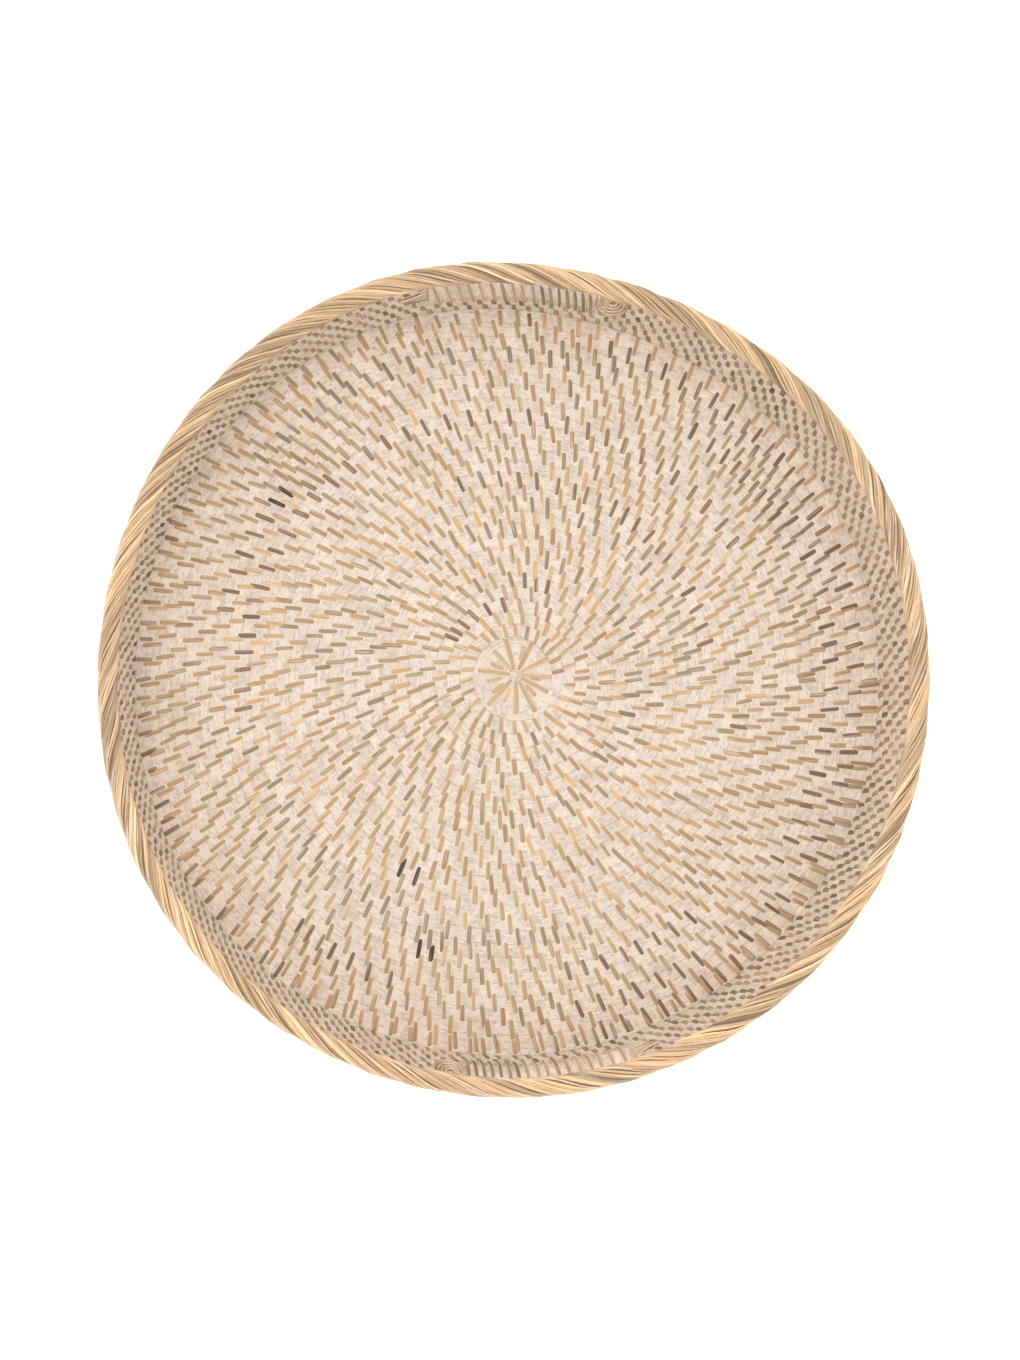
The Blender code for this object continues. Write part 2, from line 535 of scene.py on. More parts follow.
@dataclass(frozen=True)
class SplitCaneFinish:
    """Bare split cane, each strip in its own shade, with paint left in the grain."""

    name: str = "natural_cane"
    paint: Colour = (0.970, 0.860, 0.710)
    paint_left: float = 0.30
    grain_across: float = 3.2
    grain_stretch: float = 120.0
    grain_light: float = 1.16
    grain_dark: float = 0.78
    edge_paint: float = 0.85
    roughness: float = 0.5
    grain_apart: float = 97.0

    def material(self) -> Material:
        """Build the grain from each strip's own shade, length and width.

        Returns:
            The finished material.
        """
        made, sheet = new_finish(self.name)
        tone = sheet.read("tone", "Color")
        across = sheet.read("across")
        place = sheet.vector(
            sheet.times(sheet.read("along"), self.grain_stretch),
            sheet.times(across, self.grain_across),
            sheet.times(sheet.read("odd"), self.grain_apart),
        )
        grain = sheet.noise(place, 1.0, 3.0, 0.65)
        shade = sheet.ramp(grain, 0.3, 0.7, self.grain_dark, self.grain_light)
        body = sheet.add("ShaderNodeVectorMath", {0: tone, 1: shade}, operation="MULTIPLY")
        sides = sheet.math("ABSOLUTE", across)
        edge = sheet.ramp(sides, 0.58, 0.72, 0.0, self.edge_paint)
        near = sheet.add(
            "ShaderNodeVectorMath", {0: place, 1: (0.45, 0.5, 1.0)}, operation="MULTIPLY"
        )
        smear = sheet.ramp(sheet.noise(near, 1.0, 2.0, 0.5), 0.50, 0.70, 0.0, 1.0)
        left = sheet.times(smear, sheet.math("ADD", sheet.read("coat"), self.paint_left))
        left = sheet.math("MAXIMUM", left, edge)
        painted = sheet.blend(left, body.outputs[0], self.paint)
        rough = sheet.ramp(grain, 0.0, 1.0, self.roughness - 0.12, self.roughness + 0.2)
        sheet.dress(painted, rough, grain, strength=0.5, distance=0.0003, shine=0.35)
        return made


@dataclass(frozen=True)
class PlainFinish:
    """A quiet surface with a little cloudiness, for the hidden hoop and the studio."""

    name: str
    light: Colour
    dark: Colour
    scale: float
    roughness: float
    glow: float = 0.0

    def material(self) -> Material:
        """Return the finished material."""
        made, sheet = new_finish(self.name)
        place = sheet.add("ShaderNodeTexCoord").outputs["Object"]
        cloud = sheet.noise(place, self.scale, 3.0, 0.5)
        mixed = sheet.blend(cloud, self.dark, self.light)
        sheet.dress(mixed, self.roughness, cloud, strength=0.2, distance=0.0003)
        if self.glow:
            shader = sheet.tree.nodes["Principled BSDF"]
            shader.inputs["Emission Color"].default_value = (1.0, 1.0, 1.0, 1.0)
            shader.inputs["Emission Strength"].default_value = self.glow
        return made


@dataclass
class Strip:
    """A flat split-cane strip with a slightly bowed upper face."""

    width: float
    thickness: float
    bow: float = 0.3

    def mesh(
        self,
        name: str,
        path: Sequence[Vector],
        normals: Sequence[Vector],
        widths: Callable[[float], float] = lambda share: 1.0,
    ) -> Mesh:
        """Sweep the strip along a path.

        Args:
            name: The mesh's name.
            path: Points along the middle of the strip.
            normals: The way its upper face looks at each point.
            widths: Its share of the full width, by the share of the path passed.

        Returns:
            A closed mesh that also holds the place along and across the strip.
        """
        half = self.width / 2.0
        top = self.thickness / 2.0
        outline = [(-1.0, -top), (-0.72, top - self.bow * top), (0.0, top)]
        outline += [(0.72, top - self.bow * top), (1.0, -top)]
        points: list[Vector] = []
        along: list[float] = []
        across: list[float] = []
        passed = 0.0
        last = len(path) - 1
        for index, centre in enumerate(path):
            ahead = path[min(index + 1, last)] - path[max(index - 1, 0)]
            side = normals[index].cross(ahead).normalized()
            if index:
                passed += (centre - path[index - 1]).length
            reach = half * widths(index / last)
            for share, rise in outline:
                points.append(centre + side * (share * reach) + normals[index] * rise)
                along.append(passed)
                across.append(share)
        count = len(outline)
        faces = []
        for ring in range(last):
            for spot in range(count):
                near, far = ring * count + spot, ring * count + (spot + 1) % count
                faces.append((near, far, far + count, near + count))
        faces.append(tuple(range(count)))
        faces.append(tuple(last * count + spot for spot in range(count)))
        mesh = bpy.data.meshes.new(name)
        mesh.from_pydata(points, [], faces)
        store(mesh, "along", "FLOAT", along)
        store(mesh, "across", "FLOAT", across)
        face_outwards(mesh)
        return mesh


@dataclass
class Scatter:
    """Places for copies of a strip, each with its own turn, size and shade."""

    places: list[tuple[Any, ...]] = field(default_factory=list)

    def put(
        self,
        spot: Vector,
        turn: Matrix,
        size: Vector,
        tone: Colour,
        odd: float,
        coat: float = 0.0,
    ) -> None:
        """Add one place.

        Args:
            spot: Where the copy's origin goes.
            turn: How it is turned.
            size: How it is stretched along its own axes.
            tone: Its shade.
            odd: A number of its own, which shifts its grain.
            coat: How much extra paint it carries, from 0 to 1.
        """
        row = (spot, Vector(turn.to_euler()), size, (*tone, 1.0), odd, coat)
        self.places.append(row)

    def guide(self, name: str) -> Object:
        """Return the places as an object of loose points with attributes.

        Args:
            name: The object's name.

        Returns:
            The guide.
        """
        spots, *columns = zip(*self.places)
        mesh = bpy.data.meshes.new(name)
        mesh.from_pydata(spots, [], [])
        for (label, kind), values in zip(PLACE_FIELDS, columns):
            store(mesh, label, kind, values)
        return new_object(name, mesh)


class ShadeRuns:
    """Shades of strips in working order: one long strip gives a run of stitches."""

    def __init__(
        self,
        seed: int,
        longest: int = 22,
        tones: Sequence[CaneTone] = tuple(CaneTone),
        dull: float = 0.0,
        middle: Colour = (0.43, 0.31, 0.20),
        unlike: float = 0.10,
    ) -> None:
        """Start with a fresh strip.

        Args:
            seed: Fixes the order of shades.
            longest: The most stitches that one strip makes.
            tones: The shades to choose from.
            dull: How far the shades are drawn towards the middle shade.
            middle: The middle shade.
            unlike: How much stitches of one strip differ in lightness.
        """
        self.random = np.random.default_rng(seed)
        self.longest = longest
        self.tones = list(tones)
        self.dull = dull
        self.middle = middle
        self.unlike = unlike
        self.left = 0
        self.base: Colour = CaneTone.HONEY.colour

    def next(self) -> Colour:
        """Return the shade of the next stitch.

        Returns:
            The shade, a little lighter or darker than its strip's.
        """
        if self.left <= 0:
            shares = np.array([tone.share for tone in self.tones])
            pick = self.random.choice(len(self.tones), p=shares / shares.sum())
            self.base = self.tones[pick].colour
            longest = 2 if self.tones[pick] is CaneTone.BARK else self.longest
            self.left = int(self.random.integers(1, longest + 1))
        self.left -= 1
        light = float(self.random.normal(1.0, self.unlike))
        warm = float(self.random.normal(1.0, 0.03))
        tints = zip(self.base, self.middle, (light * warm, light, light / warm))
        red, green, blue = (
            (own + (middle - own) * self.dull) * change for own, middle, change in tints
        )
        return (red, green, blue)


def copies_tree() -> ShapeTree:
    """Build the tree that sets copies of a strip at scattered places.

    Returns:
        The tree, with the inputs Places, Strip and Material.
    """
    tree = ShapeTree("strip_copies")
    turned = tree.add("FunctionNodeEulerToRotation", {"Euler": tree.vector_of("turn")})
    sockets = {
        "Points": tree.shape_of("Places"),
        "Instance": tree.shape_of("Strip"),
        "Rotation": turned,
        "Scale": tree.vector_of("size"),
    }
    copies = tree.add("GeometryNodeInstanceOnPoints", sockets)
    tree.close(copies, tree.input("Material", "Material"))
    return tree


def band_tree() -> ShapeTree:
    """Build the tree that sweeps the coil's section along a path and presses it in.

    Returns:
        The tree, with the inputs Path, Step, Section, Stitches, Reach, Press, Material.
    """
    tree = ShapeTree("coil_band")
    even = tree.add(
        "GeometryNodeResampleCurve",
        {"Curve": tree.shape_of("Path"), "Length": tree.input("Step", "Float")},
        mode="LENGTH",
    )
    upright = tree.add("GeometryNodeSetCurveNormal", {"Curve": even}, mode="Z_UP")
    length = tree.add("GeometryNodeSplineParameter").outputs["Length"]
    share = tree.add("GeometryNodeSplineParameter").outputs["Factor"]
    wave = tree.math("COSINE", tree.times(share, TURN))
    sockets = {
        "Curve": tree.mark(upright, "along", length),
        "Profile Curve": tree.mark(tree.shape_of("Section"), "across", wave),
        "Fill Caps": True,
    }
    swept = tree.add("GeometryNodeCurveToMesh", sockets)
    guides = {"Geometry": tree.shape_of("Stitches")}
    near = tree.add("GeometryNodeProximity", guides, target_element="POINTS")
    away = tree.math("DIVIDE", near.outputs["Distance"], tree.input("Reach", "Float"))
    fade = tree.math("EXPONENT", tree.times(tree.math("POWER", away, 2.0), -1.0))
    depth = tree.times(fade, tree.times(tree.input("Press", "Float"), -1.0))
    normal = tree.add("GeometryNodeInputNormal").outputs[0]
    push = tree.add("ShaderNodeVectorMath", {0: normal, "Scale": depth}, operation="SCALE")
    moved = {"Geometry": swept, "Offset": push.outputs[0]}
    tree.close(tree.add("GeometryNodeSetPosition", moved), tree.input("Material", "Material"))
    return tree


@dataclass(frozen=True)
class Press:
    """How finely a band is divided, and how its stitches press it in."""

    step: float
    depth: float
    reach: float = 0.0024


@dataclass(frozen=True)
class Maker:
    """Makes finished pieces: strips set at their places, and pressed bands of coil."""

    bands: ShapeTree
    copies: ShapeTree
    paint: Material
    cane: Material

    def strips(
        self, name: str, places: Object, strip: Object, nodes: Iterable[str] = ()
    ) -> None:
        """Make a piece from copies of a strip.

        Args:
            name: The piece's name.
            places: The guide that holds the places.
            strip: The strip to copy.
            nodes: The frame's nodes that the piece stands for.
        """
        values = {"Places": places, "Strip": strip, "Material": self.cane}
        settle(self.copies.make(name, values), nodes)

    def band(
        self, name: str, shapes: Sequence[Object], press: Press, nodes: Iterable[str]
    ) -> None:
        """Make a whitewashed band of coil.

        Args:
            name: The piece's name.
            shapes: Its path, its section and the places of its stitches.
            press: How the stitches press it in.
            nodes: The frame's nodes that it stands for.
        """
        values = dict(zip(("Path", "Section", "Stitches"), shapes))
        values |= {"Step": press.step, "Press": press.depth, "Reach": press.reach}
        settle(self.bands.make(name, {**values, "Material": self.paint}), nodes)


@dataclass
class Gauge:
    """Sizes that the fixed frame gives for the coil, the wall, the slots and the rim."""

    full_rows: tuple[str, ...] = ("wall_coil_01", "wall_coil_02", "wall_coil_03")
    cut_rows: tuple[str, ...] = ("wall_coil_04", "wall_coil_05", "wall_coil_06")
    rim_width: float = 0.0120
    turns: int = 25

    def __post_init__(self) -> None:
        """Read the frame's boxes."""
        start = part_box("floor_start")[1]
        self.start_radius = start.x
        self.thickness = start.z
        self.floor_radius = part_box("floor_coil_13")[1].x
        self.pitch = (self.floor_radius - self.start_radius) / self.turns
        self.heel_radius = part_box("heel_coil")[1].x
        first_low, first_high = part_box(self.full_rows[0])
        last_low, last_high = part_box(self.full_rows[-1])
        rise = (last_low.z + last_high.z - first_low.z - first_high.z) / 2.0
        self.lean = math.atan2(last_high.x - first_high.x, rise)
        self.row_step = rise / (len(self.full_rows) - 1) / math.cos(self.lean)
        edge = self.row_step / 2.0 - 0.0010
        out = self.thickness / 2.0 * math.cos(self.lean) + edge * math.sin(self.lean)
        self.first_radius = first_high.x - out
        self.first_height = (first_low.z + first_high.z) / 2.0
        self.rows = len(self.full_rows) + len(self.cut_rows)
        low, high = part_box("rim_lashing")
        self.rim_radius = high.x - self.rim_width / 2.0
        self.rim_low = low.z
        self.rim_high = high.z
        self.slots = [self.slot_angle(name) for name in ("north", "south")]
        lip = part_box("slot_north_lip")[1]
        self.slot_half = math.asin(lip.x / self.row(2.5)[0])

    def slot_angle(self, name: str) -> float:
        """Return the angle of the middle of a slot.

        Args:
            name: The slot's name: north or south.

        Returns:
            The angle.
        """
        low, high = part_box(f"slot_{name}_lip")
        middle = (low + high) / 2.0
        return math.atan2(middle.y, middle.x)

    def row(self, number: float) -> Pair:
        """Return radius and height of the middle of a wall row, counted from 0.

        Args:
            number: The row, which may lie between two rows.

        Returns:
            The radius and the height.
        """
        climb = number * self.row_step
        radius = self.first_radius + climb * math.sin(self.lean)
        return radius, self.first_height + climb * math.cos(self.lean)

    def in_slot(self, angle: float, spare: float = 0.0) -> bool:
        """Tell whether an angle falls in a slot or its bound ends.

        Args:
            angle: The angle.
            spare: How much wider than the slot to look.

        Returns:
            True if it does.
        """
        limit = self.slot_half + math.radians(2.0) + spare
        return any(
            abs(math.remainder(angle - slot, TURN)) < limit for slot in self.slots
        )


def polar(radius: float, angle: float, height: float) -> Vector:
    """Return a point from its distance to the axis, its angle and its height."""
    return Vector((radius * math.cos(angle), radius * math.sin(angle), height))


def circle(radius: float, height: float, count: int) -> list[Vector]:
    """Return evenly spaced points of a level circle round the axis."""
    return [polar(radius, TURN * index / count, height) for index in range(count)]


def basis(length: Vector, face: Vector, tilt: float) -> Matrix:
    """Return the turn of a strip.

    Args:
        length: The way that the strip runs before it is tilted.
        face: The way that its upper face looks.
        tilt: How far it is turned about its face, anticlockwise.

    Returns:
        A matrix with the strip's own axes as columns.
    """
    side = face.cross(length).normalized()
    run = (length * math.cos(tilt) + side * math.sin(tilt)).normalized()
    columns = (run, face.cross(run), face)
    return Matrix(columns).transposed()


@dataclass(frozen=True)
class StitchPattern:
    """How stitches are set along the coil so that they line up in curved spokes."""

    spacing: float = 0.0119
    centre_saving: float = 0.0047
    settling_radius: float = 0.030
    drift: float = 0.40
    easing: float = 0.30
    wobble: float = 0.055
    seed: int = 11

    def spacing_at(self, radius: float, start: float) -> float:
        """Return the distance between stitches, which is less near the start.

        Args:
            radius: The radius of the turn.
            start: The radius of the first turn.

        Returns:
            The distance along the turn.
        """
        away = (radius - start) / self.settling_radius
        return self.spacing - self.centre_saving * math.exp(-away)

    def grow(self, radii: Sequence[float]) -> list[np.ndarray]:
        """Set the stitches turn by turn, each beside the stitch it grows from.

        Args:
            radii: The radius of each turn, from the inside out.

        Returns:
            The angles of the stitches in each turn.
        """
        random = np.random.default_rng(self.seed)
        start = round(TURN * radii[0] / self.spacing_at(radii[0], radii[0]))
        angles = np.arange(start) * TURN / start
        turns = []
        for radius in radii:
            gaps = np.diff(np.append(angles, angles[0] + TURN))
            angles = angles + self.drift * gaps
            wanted = round(TURN * radius / self.spacing_at(radius, radii[0]))
            while len(angles) < wanted:
                gaps = np.diff(np.append(angles, angles[0] + TURN))
                widest = int(np.argmax(gaps * random.uniform(0.85, 1.15, len(gaps))))
                middle = angles[widest] + gaps[widest] / 2.0
                angles = np.insert(angles, widest + 1, middle)
            for _ in range(3):
                before = np.roll(angles, 1)
                before[0] -= TURN
                after = np.roll(angles, -1)
                after[-1] += TURN
                angles = angles + self.easing * ((before + after) / 2.0 - angles)
            shake = random.normal(0.0, self.wobble * self.spacing / radius, len(angles))
            turns.append(angles + shake)
        return turns


@dataclass
class CoilStitch:
    """The strip that crosses one turn and dips into the turns beside it."""

    length: float = 0.0120
    width: float = 0.0041
    thickness: float = 0.0009
    tilt: float = math.radians(9.5)

    def template(self, name: str) -> Object:
        """Return one stitch, lying along X on the crown of a turn.

        Args:
            name: Its name.

        Returns:
            The stitch's object.
        """
        strip = Strip(self.width, self.thickness, 0.35)
        stations = (-1.0, -0.93, -0.74, -0.3, 0.3, 0.74, 0.93, 1.0)
        rises = (-0.0009, -0.0002, 0.0, 0.00014, 0.00014, 0.0, -0.0002, -0.0009)
        widths = (0.45, 0.78, 0.97, 1.0, 1.0, 0.95, 0.74, 0.42)
        path = [
            Vector((share * self.length / 2.0, 0.0, rise))
            for share, rise in zip(stations, rises)
        ]
        normals = [UP] * len(path)
        last = len(path) - 1
        mesh = strip.mesh(name, path, normals, lambda share: widths[round(share * last)])
        return new_object(name, mesh)


def coil_outline(half_width: float, half_depth: float) -> list[Pair]:
    """Return the outline of the flat coil: nearly level faces and shallow shoulders.

    Args:
        half_width: Half its width.
        half_depth: Half its thickness.

    Returns:
        The points of the outline, in order.
    """
    corners = [(1.0, 0.0), (1.0, 0.93), (0.80, 0.985), (0.35, 1.0)]
    right = corners + [(-x, y) for x, y in corners[:0:-1]]
    outline = right + [(-1.0, 0.0)] + [(-x, -y) for x, y in right[1:]]
    return [(x * half_width, y * half_depth) for x, y in outline]


@dataclass
class FloorCoil:
    """The flat spiral of the floor, its stitches on both faces, and the heel turn."""

    gauge: Gauge
    stitch: CoilStitch
    pattern: StitchPattern
    half_width: float = 0.00402
    half_depth: float = 0.00215
    level: float = 0.0028
    press: Press = Press(0.0034, 0.00022)
    first_turn_back: float = 1.0
    start_dip: float = 0.0005
    heel_length: float = 0.78
    heel_place: float = 0.56
    foot_length: float = 0.34
    # Painted shade: the floor's stitches are darkened by up to this share towards the wall, where
    # the floor lies in shade.
    painted_shade_near_wall: float = 0.16
    painted_shade_start: float = 0.175
    painted_shade_span: float = 0.030
    tilt_spread: float = math.radians(2.6)
    size_spread: Triple = (0.06, 0.09, 0.08)
    stray: float = 0.00030
    sunk: float = 0.00012
    first_length: float = 0.72
    length_growth: float = 0.06
    heel_points: int = 240

    def section(self, name: str, half_width: float) -> Object:
        """Return the outline of the coil as a curve, across X and through Y.

        Args:
            name: The curve's name.
            half_width: Half the coil's width.

        Returns:
            The curve's object.
        """
        outline = coil_outline(half_width, self.half_depth)
        return curve_object(name, [(x, y, 0.0) for x, y in outline], closed=True)

    def radius_at(self, angle: float) -> float:
        """Return the spiral's middle radius after an angle from its first full turn."""
        return self.gauge.start_radius + self.gauge.pitch * (0.5 + angle / TURN)

    def spiral(self) -> Object:
        """Return the spiral's path as a curve.

        Returns:
            The curve's object.
        """
        start = -self.first_turn_back * TURN
        end = (self.gauge.turns + 1) * TURN - 0.001
        steps = int((end - start) / math.radians(1.5))
        points = []
        for index in range(steps + 1):
            angle = start + (end - start) * index / steps
            dip = self.start_dip * min(1.0, max(0.0, -angle / TURN))
            points.append(polar(self.radius_at(angle), angle, self.level - dip))
        return curve_object("floor_path", points, closed=False)

    def scatter(self, face: Face, turns: Sequence[np.ndarray]) -> Scatter:
        """Place the floor's stitches on one face, darkened towards the wall as painted shade.

        Args:
            face: The face to bind.
            turns: The angles of the stitches in each turn.

        Returns:
            The places of the stitches.
        """
        places = Scatter()
        shades = ShadeRuns(seed=21 if face is Face.INSIDE else 22)
        random = np.random.default_rng(5)
        up = Vector((0.0, 0.0, face.value))
        for number, angles in enumerate(turns):
            for angle in np.sort(angles % TURN):
                radius = self.radius_at(number * TURN + angle)
                if radius > self.gauge.floor_radius + self.gauge.pitch / 2.0:
                    continue
                tilt = self.stitch.tilt + random.normal(0.0, self.tilt_spread)
                out = polar(1.0, angle, 0.0)
                size = Vector(random.normal((1.0, 1.0, 1.0), self.size_spread))
                size.x *= min(1.0, self.first_length + self.length_growth * number)
                rise = self.level + face.value * (self.half_depth - self.sunk)
                spot = polar(radius + random.normal(0.0, self.stray), angle, rise)
                # Painted shade: stitch colours are darkened towards the wall, in place of the shade
                # that falls there.
                wall_shade_share = (radius - self.painted_shade_start) / self.painted_shade_span
                shade = 1.0 - self.painted_shade_near_wall * min(1.0, max(0.0, wall_shade_share))
                tone = tuple(part * shade for part in shades.next())
                places.put(spot, basis(out, up, tilt), size, tone, random.random())
        return places

    def heel_stitches(self, angles: np.ndarray) -> Scatter:
        """Place the short stitches that show at the foot of the wall.

        Args:
            angles: The angle of each stitch.

        Returns:
            The places of the stitches.
        """
        places = Scatter()
        tones = (CaneTone.BISCUIT, CaneTone.OLIVE, CaneTone.NUT, CaneTone.ROSY)
        shades = ShadeRuns(seed=31, longest=9, tones=tones)
        random = np.random.default_rng(8)
        for angle in angles:
            radius = self.gauge.floor_radius + self.gauge.pitch * self.heel_place
            out = polar(1.0, angle, 0.0)
            tilt = self.stitch.tilt + random.normal(0.0, 0.05)
            turn = basis(out, UP, tilt)
            size = Vector((self.heel_length, random.normal(1.0, 0.1), 1.0))
            size.x *= random.normal(1.0, 0.12)
            spot = polar(radius, angle, self.level + self.half_depth - 0.0001)
            places.put(spot, turn, size, shades.next(), random.random())
        return places

    def heel_outer_stitches(self, angles: np.ndarray) -> Scatter:
        """Place the short stitches that show round the foot from outside.

        Args:
            angles: The angle of each stitch.

        Returns:
            The places of the stitches.
        """
        places = Scatter()
        shades = ShadeRuns(seed=33, longest=9)
        random = np.random.default_rng(9)
        for angle in angles:
            out = polar(1.0, angle, 0.0)
            turn = basis(UP, out, random.normal(0.0, 0.05))
            long = self.foot_length * random.normal(1.0, 0.05)
            size = Vector((long, random.normal(0.9, 0.1), 0.8))
            spot = polar(self.gauge.heel_radius - 0.0006, angle, self.level)
            places.put(spot, turn, size, shades.next(), random.random())
        return places

    def build(self, maker: Maker) -> None:
        """Make the spiral, the heel turn and all their stitches.

        Args:
            maker: Makes the bands and the strips.
        """
        radii = [self.radius_at((turn + 0.5) * TURN) for turn in range(self.gauge.turns + 2)]
        *turns, foot = self.pattern.grow(radii)
        inside = self.scatter(Face.INSIDE, turns).guide("floor_places")
        outside = self.scatter(Face.OUTSIDE, turns).guide("underside_places")
        heel = self.heel_stitches(foot).guide("heel_places")
        outer = self.heel_outer_stitches(foot).guide("foot_places")
        path = self.spiral()
        section = self.section("floor_section", self.half_width)
        nodes = [f"floor_coil_{number:02d}" for number in range(1, 14)]
        maker.band("floor_band", (path, section, inside), self.press, nodes)
        template = self.stitch.template("floor_stitch")
        for name, places in (
            ("floor_stitches", inside),
            ("underside_stitches", outside),
            ("heel_stitches", heel),
            ("foot_stitches", outer),
        ):
            maker.strips(name, places, template)
        middle = (self.gauge.floor_radius + self.gauge.heel_radius) / 2.0 - 0.0004
        ring = circle(middle, self.level - 0.0001, self.heel_points)
        heel_path = curve_object("heel_path", ring, closed=True)
        half = (self.gauge.heel_radius - self.gauge.floor_radius) / 2.0
        heel_section = self.section("heel_section", half)
        maker.band("heel_band", (heel_path, heel_section, heel), self.press, ["heel_coil"])
        discard(path, section, template, inside, outside, heel, outer, heel_path, heel_section)


@dataclass
class CentreStart:
    """The closed start of the coil, with the long stitches of its star."""

    gauge: Gauge
    hub_radius: float = 0.0030
    long_reach: float = 0.0238
    short_reach: float = 0.0190
    rings: int = 14
    steps: int = 120
    crown: float = 0.0051
    spare: float = 0.0012
    skin: float = 0.0004
    puff_height: float = 0.0004
    puff_reach: float = 0.0022
    arm_width: float = 0.0046
    arm_thickness: float = 0.0009
    arm_sink: float = 0.0011
    arm_lift: float = 0.00015
    short_start: float = 0.0090
    middle: Colour = (0.62, 0.46, 0.28)
    long_arms: tuple[float, ...] = (27, 0, -26, -58, -90, -134, 171, 133, 103, 63)
    short_arms: tuple[float, ...] = (-8, -45, -116, -143, -169, 152, 73)

    def button(self, paint: Any) -> None:
        """Make the round button, a little puffed between its arms.

        Args:
            paint: The whitewashed material.
        """
        edge = self.gauge.start_radius + self.spare
        arms = np.radians(np.array(self.long_arms + self.short_arms, float))
        work = bmesh.new()
        loops = []
        shares = [(ring + 1) / self.rings for ring in range(self.rings)]
        outline = [(share * edge, 1.0 - 0.10 * share**9) for share in shares]
        outline += [(edge * 1.004, 0.1), (edge * 0.99, -0.6)]
        outline += [(share * edge * 0.98, -0.95) for share in (0.95, 0.6, 0.2)]
        middle = self.crown / 2.0 + 0.0001
        half = self.crown / 2.0 - self.skin
        for radius, rise in outline:
            loop = []
            for index in range(self.steps):
                angle = TURN * index / self.steps
                away = np.abs((angle - arms + math.pi) % TURN - math.pi).min() * radius
                puff = self.puff_height * (1.0 - math.exp(-((away / self.puff_reach) ** 2)))
                lift = puff if rise > 0.3 and radius > 0.004 else 0.0
                lift *= 1.0 - min(1.0, radius / edge) ** 5
                height = middle + rise * half + lift
                loop.append(work.verts.new(polar(radius, angle, height)))
            loops.append(loop)
        top = work.verts.new((0.0, 0.0, middle + self.crown / 2.0 - 0.0003))
        base = work.verts.new((0.0, 0.0, middle - 0.95 * half))
        for index in range(self.steps):
            after = (index + 1) % self.steps
            work.faces.new((top, loops[0][index], loops[0][after]))
            work.faces.new((base, loops[-1][after], loops[-1][index]))
            for near, far in zip(loops, loops[1:]):
                work.faces.new((near[index], far[index], far[after], near[after]))
        bmesh.ops.recalc_face_normals(work, faces=work.faces)
        mesh = bpy.data.meshes.new("start_button")
        work.to_mesh(mesh)
        work.free()
        spread = np.zeros(len(mesh.vertices) * 3, np.float32)
        mesh.vertices.foreach_get("co", spread)
        spread = spread.reshape(-1, 3)
        radius = np.hypot(spread[:, 0], spread[:, 1])
        store(mesh, "along", "FLOAT", radius * 2.0)
        store(mesh, "across", "FLOAT", np.sin(radius * 700.0))
        mesh.shade_smooth()
        mesh.materials.append(paint)
        settle(new_object("start_button", mesh), ["floor_start"])

    def star(self, maker: Maker) -> None:
        """Make the long and short arms of the star.

        Args:
            maker: Makes the strips.
        """
        random = np.random.default_rng(17)
        tones = (CaneTone.HONEY, CaneTone.STRAW)
        shades = ShadeRuns(seed=44, longest=3, tones=tones, dull=0.4, middle=self.middle)
        for name, arms, inner, outer in (
            ("star_long", self.long_arms, self.hub_radius, self.long_reach),
            ("star_short", self.short_arms, self.short_start, self.short_reach),
        ):
            length = outer - inner
            strip = Strip(self.arm_width, self.arm_thickness, 0.35)
            path = []
            for share in (index / 10 for index in range(11)):
                sink = self.arm_sink * abs(2.0 * share - 1.0) ** 7
                path.append(Vector((inner + share * length, 0.0, -sink)))
            normals = [UP] * len(path)
            mesh = strip.mesh(f"{name}_strip", path, normals, lambda s: 0.55 + 0.45 * min(1, 4 * s))
            template = new_object(f"{name}_strip", mesh)
            places = Scatter()
            for arm in arms:
                angle = math.radians(arm) + random.normal(0.0, 0.02)
                turn = basis(polar(1.0, angle, 0.0), UP, 0.0)
                size = Vector((random.normal(1.0, 0.06), random.normal(1.0, 0.07), 1.0))
                tone = shades.next()
                places.put(UP * (self.crown + self.arm_lift), turn, size, tone, random.random())
            guide = places.guide(f"{name}_places")
            maker.strips(name, guide, template)
            discard(template, guide)

    def build(self, maker: Maker) -> None:
        """Make the button and its star."""
        self.button(maker.paint)
        self.star(maker)


